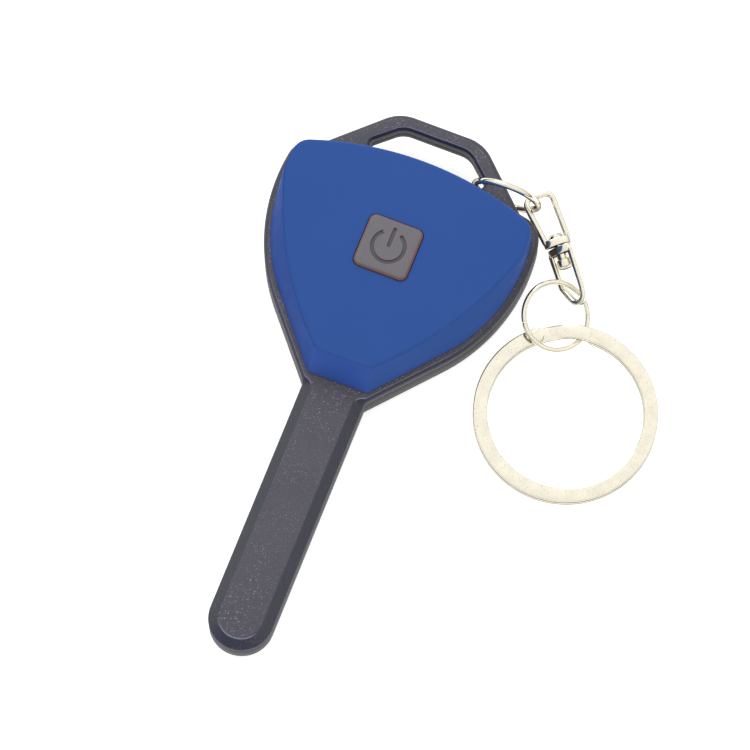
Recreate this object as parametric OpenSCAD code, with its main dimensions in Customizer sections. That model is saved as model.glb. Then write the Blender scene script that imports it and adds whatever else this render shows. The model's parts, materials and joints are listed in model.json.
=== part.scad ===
// Key-shaped keychain flashlight with a swivel chain and a split ring.
// Frame: +X right, +Y towards the lanyard arch, +Z out of the front cover.
// The origin is on the flat back face, under the centre of the power button.
// All lengths are in millimetres and all angles in degrees.

/* [Key head] */
// Half of the case's width at its widest point
head_half = 18.4; // [18:0.05:18.6]
// Height along Y of the widest point
head_wide_y = 5.7; // [5.3:0.1:6]
// Radius of the case's long side arcs
head_side_r = 25.7; // [25:0.1:26.5]
// Slope of the straight lower flanks
head_slope = 40.8; // [40:0.1:42]
// Top of the head under the lanyard slot
head_top_y = 13.7; // [13.5:0.05:13.8]
// Radius of the shoulder corners
head_corner_r = 3.6; // [3.2:0.1:4]
// Thickness of the case walls
wall = 1.5; // [1.2:0.1:1.7]

/* [Levels] */
// Underside of the case rim above the battery door's face
rim_z0 = 1.3; // [1.2:0.05:1.4]
// Parting plane of the two case shells
part_z = 4.2; // [4:0.05:4.3]
// Top of the case rim, blade and arch
rim_z1 = 6.0; // [5.9:0.05:6.1]
// Top of the front cover
cover_z1 = 10.7; // [10.6:0.05:10.9]
// Top of the power button
button_z1 = 11.2; // [11.1:0.05:11.4]

/* [Blade] */
// Width of the key blade
blade_w = 8.8; // [8.6:0.1:9.2]
// Tip of the blade along Y
blade_tip_y = -57.7; // [-60:0.1:-57.5]
// Width of the long bevel round the blade's face
blade_bevel = 1.4; // [1.2:0.05:1.5]
// Underside of the blade
blade_z0 = 1.6; // [1.5:0.05:1.7]

/* [Lanyard arch] */
// Top of the arch along Y
arch_top_y = 20.2; // [20:0.05:20.4]
// Underside of the arch
arch_z0 = 2.1; // [2.05:0.05:2.2]

/* [Cover and button] */
// Half of the cover's width
cover_half = 17.5; // [17.3:0.05:17.6]
// Top edge of the cover along Y
cover_top_y = 13.4; // [13.3:0.05:13.45]
// Thickness of the cover
cover_t = 1.2; // [1.1:0.05:1.3]
// Side of the square power button
button_w = 7.65; // [7.5:0.05:7.8]
// Travel of the power button
button_travel = 0.3; // [0.25:0.05:0.3]

/* [Chain] */
// Outer diameter of the split ring
split_od = 25; // [24.8:0.1:25.2]
// Radial width of the split ring's flat wire
split_w = 1.95; // [1.8:0.05:2]
// Thickness of the split ring's flat wire
split_t = 0.75; // [0.7:0.05:0.8]
// Outer diameter of the jump ring
jump_od = 10; // [9.9:0.05:10.1]
// Wire diameter of the jump ring
jump_wire = 0.72; // [0.65:0.01:0.75]
// Outer diameter of the link ring in the arch
link_od = 10; // [9.9:0.05:10.05]
// Wire diameter of the link ring
link_wire = 0.9; // [0.8:0.05:0.9]
// Width of the swivel's stamped strap
strap_w = 1.0; // [0.9:0.05:1.05]
// Thickness of the swivel's stamped strap
strap_t = 0.8; // [0.7:0.05:0.8]

/* [Hidden] */
$fn = 64;
slab = 0.02;
arc_steps = 24;

// Internal levels, from the battery door up to the switch
floor_z = rim_z0 + 1;
cell_z0 = rim_z0;
cell_t = 1.6;
cell_r = 10;
bay_r = 10.3;
pcb_z0 = 5.4;
pcb_t = 0.8;
pcb_r = 10.2;
switch_z0 = pcb_z0 + pcb_t;
switch_w = 5.2;
switch_h = 1.5;
plunger_r = 1;
plunger_z0 = 7.0;
plunger_z1 = 8.6;
flange_z0 = 8.72;
flange_t = 0.6;

// Case screws and door screws
case_screw_at = [[-13.3, -1.4], [13.3, -1.4]];
door_screw_at = [[-13, 6.2], [13, 6.2], [0, -13.6]];
screw_r = 0.8;
screw_head_r = 1.5;

// Light strip in the blade
blade_end_y = blade_tip_y + blade_w / 2;
window_y0 = -53;
window_y1 = -27;
window_half = 2.1;
light_z0 = blade_z0;

// Lanyard arch: the corner circles of its outer and inner outlines
arch_corner_r = 4.3;
arch_corner = [4.0, arch_top_y - arch_corner_r];
arch_foot = [16.8, 9.8];
slot_corner = [3.6, 15.0];
slot_corner_r = 3.15;
slot_end = [7.35, 14.6];
slot_end_r = 0.95;

// Link ring: its centre, its lean from upright and its turn about Z
link_at = [11.57, 14.5, 5.08];
link_lean = 2;
link_yaw = 1.5;
link_r = (link_od - link_wire) / 2;

// Swivel: its centre between the two eyes, its heading and its dip
swivel_at = [20.63, 10.86, 3.25];
swivel_heading = -49.5;
swivel_dip = 6.8;
upper_roll = 0;
lower_roll = 40;
// Round ends of the eyes along their centre line, each as [x, y, radius]
upper_ends = [[6.4, 1.2, 1.1], [6.5, -0.5, 1.0]];
lower_ends = [[5.55, -1.2, 0.5], [6.35, 0.9, 0.5], [7.1, 0.15, 1.1]];
leg_v = 1.6;
eye_r = 0.5;
bridge_gap = 0.12;
bridge_t = 1.0;
boss_r = 1.15;
rivet_r = 0.5;
rivet_head_r = 1.0;
rivet_fit = 0.06;

// Jump ring: its centre and its tilt, as the rise per unit length along X and Y
jump_at = [23.71, 1.78, 2.15];
jump_rise = [-0.405, 0.07];
jump_r = (jump_od - jump_wire) / 2;

// Split ring: its centre, its strand levels and where its ends lie round it
split_at = [29.68, -10.27];
split_r = (split_od - split_w) / 2;
split_z0 = 0.05;
split_step = 0.9;
split_start = 95.3;
split_climb = [-233.7, -256.7];
split_finish = -594.2;

// ---- Helpers ----

// Points along an arc
function arc(c, r, a0, a1, n = arc_steps) =
    [for (i = [0:n]) let (a = a0 + (a1 - a0) * i / n) c + r * [cos(a), sin(a)]];

// The same points on the other side of the Y axis, in reverse order
function flipped(pts) = [for (i = [len(pts) - 1:-1:0]) [-pts[i][0], pts[i][1]]];

// Right half of a shield: top arc, corner, long side arc and straight flank.
// The shield is drawn inset by d from its nominal edge, down to foot_x.
function shield_half(half, wide_y, side_r, slope, top_y, corner_r, corner_a, foot_x, d) =
    let (side_c = [half - side_r, wide_y])
    let (corner_c = side_c + (side_r - corner_r) * [cos(corner_a), sin(corner_a)])
    let (reach = top_y - corner_r)
    let (top_cy = (reach * reach - corner_c * corner_c) / (2 * (reach - corner_c[1])))
    let (top_a = atan2(corner_c[1] - top_cy, corner_c[0]))
    let (flank = side_c + (side_r - d) * [cos(slope), -sin(slope)])
    let (run = (flank[0] - foot_x) / sin(slope))
    concat(
        arc([0, top_cy], top_y - top_cy - d, 90, top_a),
        arc(corner_c, corner_r - d, top_a, corner_a, 6),
        arc(side_c, side_r - d, corner_a, -slope),
        [flank - run * [sin(slope), cos(slope)]]);

module head_2d(d = 0) {
    half = shield_half(head_half, head_wide_y, head_side_r, head_slope, head_top_y,
        head_corner_r, 8, blade_w / 2 - d * 0.6, d);
    polygon(concat(half, flipped(half)));
}

module cover_2d(d = 0) {
    half = shield_half(cover_half, 5.4, 23.5, 40.2, cover_top_y, 3.3, 8, 4.3 - d * 0.6, d);
    polygon(concat(half, flipped(half)));
}

// Crease of the cover's flat top, inside its steep lower facets
module cover_top_2d(d = 0) {
    intersection() {
        cover_2d(0.3 + d);
        crease = shield_half(19, 18.7, 49, 44.9, 24.4, 3, 2, 3.65, d);
        polygon(concat(crease, flipped(crease)));
    }
}

module blade_2d(d = 0) {
    translate([0, blade_end_y]) circle(r = blade_w / 2 - d);
    translate([-blade_w / 2 + d, blade_end_y]) square([blade_w - 2 * d, -18.5 - blade_end_y]);
}

module arch_2d(d = 0) {
    hull()
        for (s = [-1, 1]) {
            translate([s * arch_corner[0], arch_corner[1]]) circle(r = arch_corner_r - d);
            translate([s * (arch_foot[0] - d), arch_foot[1]]) circle(r = 0.2);
        }
}

module slot_2d(d = 0) {
    hull()
        for (s = [-1, 1]) {
            translate([s * slot_corner[0], slot_corner[1]]) circle(r = slot_corner_r + d);
            translate([s * slot_end[0], slot_end[1]]) circle(r = slot_end_r + d);
        }
}

// A prism with a bevelled top edge; the outline is the child drawn twice
module bevelled(z0, z1, bevel_z) {
    hull() {
        translate([0, 0, z0]) linear_extrude(z1 - bevel_z - z0) children(0);
        translate([0, 0, z1 - slab]) linear_extrude(slab) children(1);
    }
}

module at_each(points) {
    for (p = points) translate(p) children();
}

// A round wire through a list of points
module wire(points, r) {
    for (i = [0:len(points) - 2])
        hull() {
            translate(points[i]) sphere(r = r, $fn = 16);
            translate(points[i + 1]) sphere(r = r, $fn = 16);
        }
}

// ---- Case ----

module front_case() {
    color([0.35, 0.34, 0.38])
    difference() {
        union() {
            bevelled(part_z, rim_z1, 0.5) {
                head_2d();
                head_2d(0.45);
            }
            bevelled(part_z, rim_z1, 1.0) {
                blade_2d();
                blade_2d(blade_bevel);
            }
            bevelled(part_z, rim_z1, 0.4) {
                arch_2d();
                arch_2d(0.4);
            }
        }
        translate([0, 0, part_z - 1]) linear_extrude(rim_z1) slot_2d();
        difference() {
            translate([0, 0, part_z - 1]) linear_extrude(rim_z1) head_2d(2.3);
            at_each(case_screw_at) cylinder(r = 1.9, h = rim_z1 - 0.85);
        }
        at_each(case_screw_at) translate([0, 0, part_z - 1]) cylinder(r = screw_r, h = 1.8);
        // Blade cavity and the channel that leads the wires into the head
        translate([-2.9, window_y0 - 2, part_z - 1]) cube([5.8, window_y1 - window_y0 + 4, 1.75]);
        translate([-1.9, window_y1, part_z - 1]) cube([3.8, 14, 1.75]);
    }
}

module back_case() {
    color([0.33, 0.32, 0.36])
    difference() {
        union() {
            translate([0, 0, rim_z0]) linear_extrude(part_z - rim_z0) head_2d();
            translate([0, 0, blade_z0]) linear_extrude(part_z - blade_z0) blade_2d();
            mirror([0, 0, 1]) bevelled(-part_z, -arch_z0, 0.9) {
                arch_2d();
                arch_2d(0.9);
            }
        }
        translate([0, 0, -1]) linear_extrude(rim_z1) slot_2d();
        // The slot's lower edge is bevelled like the arch's outer edge
        intersection() {
            hull() {
                translate([0, 0, arch_z0 + 0.9]) linear_extrude(slab) slot_2d();
                linear_extrude(slab) slot_2d(arch_z0 + 0.9);
            }
            translate([-20, head_top_y - 0.1, -1]) cube([40, 10, 6]);
        }
        difference() {
            translate([0, 0, floor_z]) linear_extrude(part_z) head_2d(wall);
            at_each(case_screw_at) cylinder(r = 1.9, h = part_z);
            at_each(door_screw_at) cylinder(r = 1.7, h = part_z);
        }
        cylinder(r = bay_r, h = part_z);
        at_each(case_screw_at) {
            cylinder(r = screw_r + 0.1, h = rim_z1);
            cylinder(r = screw_head_r + 0.1, h = rim_z0 + 0.9);
        }
        at_each(door_screw_at) cylinder(r = screw_r, h = part_z - 0.4);
        // Blade: window, lens seat, light strip cavity and wire channel
        translate([-window_half, window_y0, 0]) cube([2 * window_half, window_y1 - window_y0, rim_z1]);
        translate([-2.9, window_y0 - 2, blade_z0 + 0.7])
            cube([5.8, window_y1 - window_y0 + 4, part_z]);
        translate([-1.9, window_y1, blade_z0 + 1.2]) cube([3.8, 14, part_z]);
    }
}

module front_cover() {
    color([0.16, 0.30, 0.60])
    difference() {
        union() {
            hull() {
                translate([0, 0, rim_z1]) linear_extrude(slab) cover_2d();
                translate([0, 0, cover_z1 - slab]) linear_extrude(slab) cover_top_2d();
            }
            // Locating skirt inside the case's opening
            translate([0, 0, rim_z1 - 0.8]) linear_extrude(0.8 + slab) head_2d(2.36);
        }
        hull() {
            translate([0, 0, rim_z1 - 1]) linear_extrude(slab) head_2d(3.2);
            translate([0, 0, rim_z1 + 0.5]) linear_extrude(slab) cover_2d(1.9);
            translate([0, 0, cover_z1 - cover_t - slab]) linear_extrude(slab) cover_top_2d(0.9);
        }
        button_hole = button_w + 0.2;
        translate([-button_hole / 2, -button_hole / 2, rim_z1])
            cube([button_hole, button_hole, cover_z1]);
    }
}

// ---- Power button and its switch ----

module power_button() {
    color([0.46, 0.45, 0.47])
    difference() {
        union() {
            translate([-button_w / 2, -button_w / 2, flange_z0])
                cube([button_w, button_w, button_z1 - flange_z0]);
            translate([-button_w / 2 - 0.8, -button_w / 2 - 0.8, flange_z0])
                cube([button_w + 1.6, button_w + 1.6, flange_t]);
            translate([0, 0, plunger_z1 + 0.01]) cylinder(r = 1.5, h = 0.3);
        }
        // Sunk standby mark: an open ring and a bar
        translate([0, 0, button_z1 - 0.2]) {
            difference() {
                cylinder(r = 2.45, h = 1);
                translate([0, 0, -1]) cylinder(r = 1.95, h = 3);
                translate([-1.2, 0, -1]) cube([2.4, 3, 3]);
            }
            translate([-0.25, 0, 0]) cube([0.5, 2.8, 1]);
        }
    }
}

module switch_body() {
    color([0.12, 0.12, 0.13])
    difference() {
        translate([-switch_w / 2, -switch_w / 2, switch_z0]) cube([switch_w, switch_w, switch_h]);
        translate([0, 0, plunger_z0 - button_travel - 0.1])
            cylinder(r = plunger_r + 0.06, h = switch_h);
    }
}

module switch_plunger() {
    color([0.75, 0.18, 0.15])
    translate([0, 0, plunger_z0]) cylinder(r = plunger_r, h = plunger_z1 - plunger_z0);
}

module switch_terminals() {
    color([0.8, 0.8, 0.82])
    for (x = [-1, 1], y = [-1.8, 1.8])
        translate([x * (switch_w / 2 + 0.45) - 0.45, y - 0.35, switch_z0]) cube([0.9, 0.7, 0.3]);
}

module main_pcb() {
    color([0.10, 0.38, 0.20])
    difference() {
        translate([0, 0, pcb_z0]) cylinder(r = pcb_r, h = pcb_t);
        translate([0, -pcb_r - 1.2, pcb_z0 - 1]) cylinder(r = 2.2, h = 4);
    }
}

module driver_chip() {
    color([0.1, 0.1, 0.11])
    translate([-2, -8, switch_z0]) cube([4, 3, 1.2]);
}

module chip_resistors() {
    color([0.22, 0.2, 0.18])
    for (x = [-6.6, -5.2, 5.2, 6.6])
        translate([x - 0.4, -6.6, switch_z0]) cube([0.8, 1.6, 0.5]);
}

// ---- Battery bay ----

module battery_frame() {
    color([0.15, 0.15, 0.16])
    translate([0, 0, floor_z])
    difference() {
        cylinder(r = bay_r + 0.9, h = 2.2);
        translate([0, 0, -1]) cylinder(r = cell_r + 0.1, h = 5);
        translate([8, -2, -1]) cube([4, 4, 5]);
    }
}

module cell(z) {
    color([0.78, 0.78, 0.76])
    translate([0, 0, z]) {
        cylinder(r = cell_r, h = cell_t - 0.35);
        cylinder(r = cell_r - 1.1, h = cell_t);
    }
}

module battery_cell_lower() cell(cell_z0);

module battery_cell_upper() cell(cell_z0 + cell_t);

module positive_contact() {
    color([0.85, 0.80, 0.60]) {
        translate([cell_r + 0.02, -1.1, floor_z + 0.1]) cube([0.25, 2.2, pcb_z0 - floor_z - 0.1]);
        translate([cell_r - 1.6, -1.1, pcb_z0 - 0.25]) cube([1.7, 2.2, 0.25]);
    }
}

module negative_contact() {
    color([0.85, 0.80, 0.60]) {
        translate([-2, -3, pcb_z0 - 0.25]) cube([4, 8, 0.25]);
        translate([0, 3, cell_z0 + 2 * cell_t]) cylinder(r = 1.2, h = pcb_z0 - cell_z0 - 2 * cell_t - 0.2);
    }
}

module battery_door() {
    color([0.30, 0.29, 0.33])
    difference() {
        linear_extrude(rim_z0) head_2d(2.2);
        at_each(door_screw_at) {
            translate([0, 0, -1]) cylinder(r = screw_r + 0.1, h = 4);
            translate([0, 0, -1]) cylinder(r = screw_head_r + 0.1, h = 1.8);
        }
    }
}

module screw(z, h) {
    translate([0, 0, z]) cylinder(r = screw_head_r, h = 0.5);
    translate([0, 0, z]) cylinder(r = screw_r - 0.02, h = h);
}

module door_screws() {
    color([0.7, 0.7, 0.72])
    at_each(door_screw_at) difference() {
        screw(0.25, 3.2);
        for (a = [0, 90]) rotate([0, 0, a]) translate([-0.8, -0.15, 0]) cube([1.6, 0.3, 0.5]);
    }
}

module case_screws() {
    color([0.7, 0.7, 0.72])
    at_each(case_screw_at) screw(rim_z0 + 0.35, 3.2);
}

// ---- Light strip ----

module cob_lens() {
    color([0.9, 0.93, 0.95, 0.5]) {
        translate([-window_half + 0.05, window_y0 + 0.05, light_z0 + 0.05])
            cube([2 * window_half - 0.1, window_y1 - window_y0 - 0.1, 0.75]);
        translate([-2.8, window_y0 - 1, light_z0 + 0.72])
            cube([5.6, window_y1 - window_y0 + 2, 0.4]);
        for (x = [-2.8, 2.3])
            translate([x, window_y0 - 0.8, light_z0 + 1.1])
                cube([0.5, window_y1 - window_y0 + 1.6, 0.65]);
    }
}

module cob_phosphor() {
    color([0.95, 0.85, 0.25])
    translate([-1.5, window_y0 + 1, light_z0 + 1.3]) cube([3, window_y1 - window_y0 - 2, 0.45]);
}

module cob_board() {
    color([0.85, 0.85, 0.85])
    translate([-2.7, window_y0 - 0.8, light_z0 + 1.75]) cube([5.4, window_y1 - window_y0 + 1.6, 0.7]);
}

module lead_wire(s) {
    wire([
        [s * 0.8, window_y1 - 1, light_z0 + 2.8],
        [s * 0.8, -17, light_z0 + 2.8],
        [s * 1.0, -13.2 - s, 4.9],
        [s * 3.6, -10.3, 5.05]], 0.35);
}

module lead_wire_red() {
    color([0.8, 0.12, 0.1]) lead_wire(1);
}

module lead_wire_black() {
    color([0.08, 0.08, 0.08]) lead_wire(-1);
}

// ---- Chain ----

module round_ring(r, wire_d) {
    rotate_extrude() translate([r, 0]) circle(r = wire_d / 2, $fn = 32);
}

module link_ring() {
    color([0.82, 0.80, 0.75])
    translate(link_at) rotate([90 + link_lean, 0, link_yaw]) round_ring(link_r, link_wire);
}

// Puts +X along the swivel, +Y to its left and +Z up, then rolls about +X
module on_swivel(roll) {
    translate(swivel_at) rotate([0, swivel_dip, swivel_heading]) rotate([roll, 0, 0]) children();
}

// Outline of an eye with given round ends, grown by g from the strap's centre line
module eye_2d(ends, g) {
    hull() {
        for (s = [-1, 1])
            translate([bridge_gap + bridge_t / 2 + eye_r, s * (leg_v - eye_r)])
                circle(r = eye_r + g, $fn = 32);
        for (e = ends) translate([e[0], e[1]]) circle(r = e[2] + g, $fn = 32);
    }
}

// One stamped eye along +X: the strap loop with a bridge and a boss for the rivet
module swivel_eye(ends, fit) {
    difference() {
        union() {
            translate([0, 0, -strap_w / 2]) linear_extrude(strap_w)
                difference() {
                    eye_2d(ends, strap_t / 2);
                    intersection() {
                        eye_2d(ends, -strap_t / 2);
                        translate([bridge_gap + bridge_t, -5]) square([20, 10]);
                    }
                }
            translate([bridge_gap, 0, 0]) rotate([0, 90, 0]) cylinder(r = boss_r, h = bridge_t);
        }
        rotate([0, 90, 0]) cylinder(r = rivet_r + fit, h = bridge_t + 0.6);
    }
}

module swivel_eye_upper() {
    color([0.82, 0.80, 0.75])
    on_swivel(upper_roll) rotate([0, 0, 180]) swivel_eye(upper_ends, 0);
}

module swivel_eye_lower() {
    color([0.84, 0.82, 0.77])
    on_swivel(lower_roll) swivel_eye(lower_ends, rivet_fit);
}

module swivel_rivet() {
    reach = bridge_gap + bridge_t;
    color([0.75, 0.73, 0.70])
    on_swivel(upper_roll) {
        translate([-reach - 0.3, 0, 0]) rotate([0, 90, 0]) cylinder(r = rivet_r, h = 2 * reach + 1.2);
        translate([-reach - 0.6, 0, 0]) rotate([0, 90, 0]) cylinder(r = rivet_head_r, h = 0.6);
        translate([reach + 0.12, 0, 0]) rotate([0, 90, 0]) cylinder(r = 0.75, h = 0.8);
        translate([reach + 0.8, 0, 0]) rotate([0, 90, 0]) cylinder(r = rivet_head_r, h = 1.3);
    }
}

module jump_ring() {
    tilt = atan(norm(jump_rise));
    aim = atan2(-jump_rise[1], -jump_rise[0]);
    color([0.80, 0.79, 0.76])
    translate(jump_at) rotate([0, tilt, aim]) round_ring(jump_r, jump_wire);
}

// Height of the split ring's strand at an angle along its two turns
function strand_z(a) =
    let (t = (split_climb[0] - a) / (split_climb[0] - split_climb[1]))
    let (u = min(1, max(0, t)))
    split_z0 + split_step * u * u * (3 - 2 * u);

// Four corners of the strand at an angle
function strand(a) = [for (c = [[-1, 0], [1, 0], [1, 1], [-1, 1]])
    let (r = split_r + c[0] * split_w / 2)
    [split_at[0] + r * cos(a), split_at[1] + r * sin(a), strand_z(a) + c[1] * split_t]];

module split_ring() {
    steps = 138;
    rings = [for (i = [0:steps]) strand(split_start + (split_finish - split_start) * i / steps)];
    faces = [for (i = [0:steps - 1], j = [0:3])
        [4 * i + j, 4 * i + 4 + j, 4 * i + 4 + (j + 1) % 4, 4 * i + (j + 1) % 4]];
    last = 4 * steps;
    color([0.84, 0.82, 0.77])
    polyhedron(
        points = [for (ring = rings, p = ring) p],
        faces = concat([[0, 1, 2, 3]], faces, [[last + 3, last + 2, last + 1, last]]));
}

front_case();
back_case();
front_cover();
power_button();
switch_body();
switch_plunger();
switch_terminals();
main_pcb();
driver_chip();
chip_resistors();
battery_frame();
battery_cell_lower();
battery_cell_upper();
positive_contact();
negative_contact();
battery_door();
door_screws();
case_screws();
cob_board();
cob_phosphor();
cob_lens();
lead_wire_red();
lead_wire_black();
link_ring();
swivel_eye_upper();
swivel_rivet();
swivel_eye_lower();
jump_ring();
split_ring();
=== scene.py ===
import json
from math import acos, atan2, cos, degrees, hypot, pi, radians, sin, sqrt

import bmesh
import bpy
from mathutils import Matrix, Vector
from mathutils.geometry import delaunay_2d_cdt


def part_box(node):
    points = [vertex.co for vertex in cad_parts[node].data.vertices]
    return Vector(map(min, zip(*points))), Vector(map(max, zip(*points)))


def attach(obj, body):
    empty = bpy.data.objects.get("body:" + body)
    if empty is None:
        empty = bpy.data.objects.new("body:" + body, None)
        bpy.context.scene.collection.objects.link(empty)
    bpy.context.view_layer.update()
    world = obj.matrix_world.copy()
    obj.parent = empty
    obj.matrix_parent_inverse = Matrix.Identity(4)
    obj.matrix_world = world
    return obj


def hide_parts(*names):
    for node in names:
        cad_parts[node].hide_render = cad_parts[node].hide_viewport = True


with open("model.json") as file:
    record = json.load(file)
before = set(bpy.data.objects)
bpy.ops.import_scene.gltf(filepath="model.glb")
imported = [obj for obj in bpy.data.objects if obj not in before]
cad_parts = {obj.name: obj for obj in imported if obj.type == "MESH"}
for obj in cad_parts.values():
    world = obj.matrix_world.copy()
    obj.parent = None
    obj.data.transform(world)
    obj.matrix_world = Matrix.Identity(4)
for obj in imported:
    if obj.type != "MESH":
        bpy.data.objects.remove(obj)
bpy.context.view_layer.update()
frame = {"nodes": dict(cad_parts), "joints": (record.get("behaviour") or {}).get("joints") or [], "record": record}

NODES = frame["nodes"]
JOINTS = {j["name"]: j for j in frame["joints"]}
MM = 0.001
scene = bpy.context.scene

PART_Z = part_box("front_case")[0].z / MM
RIM_Z1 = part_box("front_case")[1].z / MM
COVER_Z1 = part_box("front_cover")[1].z / MM
BUTTON_Z1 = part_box("power_button")[1].z / MM
TIP_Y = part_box("front_case")[0].y / MM
ARCH_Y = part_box("front_case")[1].y / MM
BLADE_MID_Y = -36.0  # middle of the blade, where the flakes are sparsest


# ---------------------------------------------------------------- camera

CAM_AZIMUTH = 21.4
CAM_ELEVATION = 73.5
CAM_LENS = 220.0
SENSOR = 36.0
VIEW_WIDTH = 100.8  # millimetres across the picture at the target
TARGET = Vector((4.15, -15.46, 4.2))

_a, _e = radians(CAM_AZIMUTH), radians(CAM_ELEVATION)
cam_back = Vector((sin(_a) * cos(_e), -cos(_a) * cos(_e), sin(_e)))
cam_data = bpy.data.cameras.new("camera")
cam_data.lens = CAM_LENS
cam_data.sensor_width = SENSOR
cam_data.clip_start = 0.05
cam_data.clip_end = 20.0
cam = bpy.data.objects.new("camera", cam_data)
cam.location = (TARGET + cam_back * (VIEW_WIDTH / SENSOR * CAM_LENS)) * MM
cam.rotation_mode = "QUATERNION"
cam.rotation_quaternion = (-cam_back).to_track_quat("-Z", "Y")
scene.collection.objects.link(cam)
scene.camera = cam


# ---------------------------------------------------------------- node helpers

class Graph:
    """A short way to write a material's nodes."""

    def __init__(self, name):
        self.mat = bpy.data.materials.new(name)
        self.mat.use_nodes = True
        self.tree = self.mat.node_tree
        self.tree.nodes.clear()
        self.out = self.add("ShaderNodeOutputMaterial")
        self.bsdf = self.add("ShaderNodeBsdfPrincipled")
        self.link(self.bsdf.outputs[0], self.out.inputs[0])

    def add(self, kind, **settings):
        node = self.tree.nodes.new(kind)
        for key, value in settings.items():
            setattr(node, key, value)
        return node

    def link(self, a, b):
        self.tree.links.new(a, b)

    def put(self, socket, value):
        if hasattr(value, "is_linked") or hasattr(value, "links"):
            self.link(value, socket)
        else:
            socket.default_value = value

    def coords(self, scale=(1.0, 1.0, 1.0)):
        """Object coordinates in millimetres, stretched by scale."""
        tex = self.add("ShaderNodeTexCoord")
        mapping = self.add("ShaderNodeMapping")
        mapping.inputs["Scale"].default_value = [1000.0 * s for s in scale]
        self.link(tex.outputs["Object"], mapping.inputs["Vector"])
        return mapping.outputs[0]

    def axis(self, vec, index):
        """One component of a vector."""
        sep = self.add("ShaderNodeSeparateXYZ")
        self.link(vec, sep.inputs[0])
        return sep.outputs[index]

    def noise(self, vec, scale, detail=2.0, rough=0.5):
        n = self.add("ShaderNodeTexNoise")
        self.link(vec, n.inputs["Vector"])
        n.inputs["Scale"].default_value = scale
        n.inputs["Detail"].default_value = detail
        n.inputs["Roughness"].default_value = rough
        return n.outputs["Fac"]

    def cells(self, vec, scale, feature="F1"):
        v = self.add("ShaderNodeTexVoronoi", feature=feature)
        self.link(vec, v.inputs["Vector"])
        v.inputs["Scale"].default_value = scale
        return v

    def remap(self, value, a0, a1, b0, b1, smooth=False):
        r = self.add("ShaderNodeMapRange", clamp=True)
        if smooth:
            r.interpolation_type = "SMOOTHSTEP"
        self.put(r.inputs["Value"], value)
        for name, x in (("From Min", a0), ("From Max", a1), ("To Min", b0), ("To Max", b1)):
            self.put(r.inputs[name], x)
        return r.outputs[0]

    def math(self, op, a, b=0.0):
        m = self.add("ShaderNodeMath", operation=op)
        self.put(m.inputs[0], a)
        self.put(m.inputs[1], b)
        return m.outputs[0]

    def mix(self, fac, a, b, blend="MIX"):
        m = self.add("ShaderNodeMix", data_type="RGBA", blend_type=blend)
        self.put(m.inputs[0], fac)
        for i, c in ((6, a), (7, b)):
            self.put(m.inputs[i], (*c, 1.0) if isinstance(c, tuple) and len(c) == 3 else c)
        return m.outputs[2]

    def bump(self, height, distance, strength=1.0):
        b = self.add("ShaderNodeBump")
        b.inputs["Strength"].default_value = strength
        b.inputs["Distance"].default_value = distance * MM
        self.link(height, b.inputs["Height"])
        self.link(b.outputs[0], self.bsdf.inputs["Normal"])

    def facing(self, index=2):
        """How squarely the surface faces +X, +Y or +Z, from the true normal."""
        geo = self.add("ShaderNodeNewGeometry")
        return self.axis(geo.outputs["True Normal"], index)

    def set(self, **values):
        """Sets the shader's sockets; an underscore stands for a space in a name."""
        for key, value in values.items():
            self.put(self.bsdf.inputs[key.replace("_", " ")], value)


def srgb(r, g, b):
    """Linear colour from sRGB values out of 255."""
    def lin(v):
        v /= 255.0
        return v / 12.92 if v <= 0.04045 else ((v + 0.055) / 1.055) ** 2.4
    return (lin(r), lin(g), lin(b))


# ---------------------------------------------------------------- materials

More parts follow.
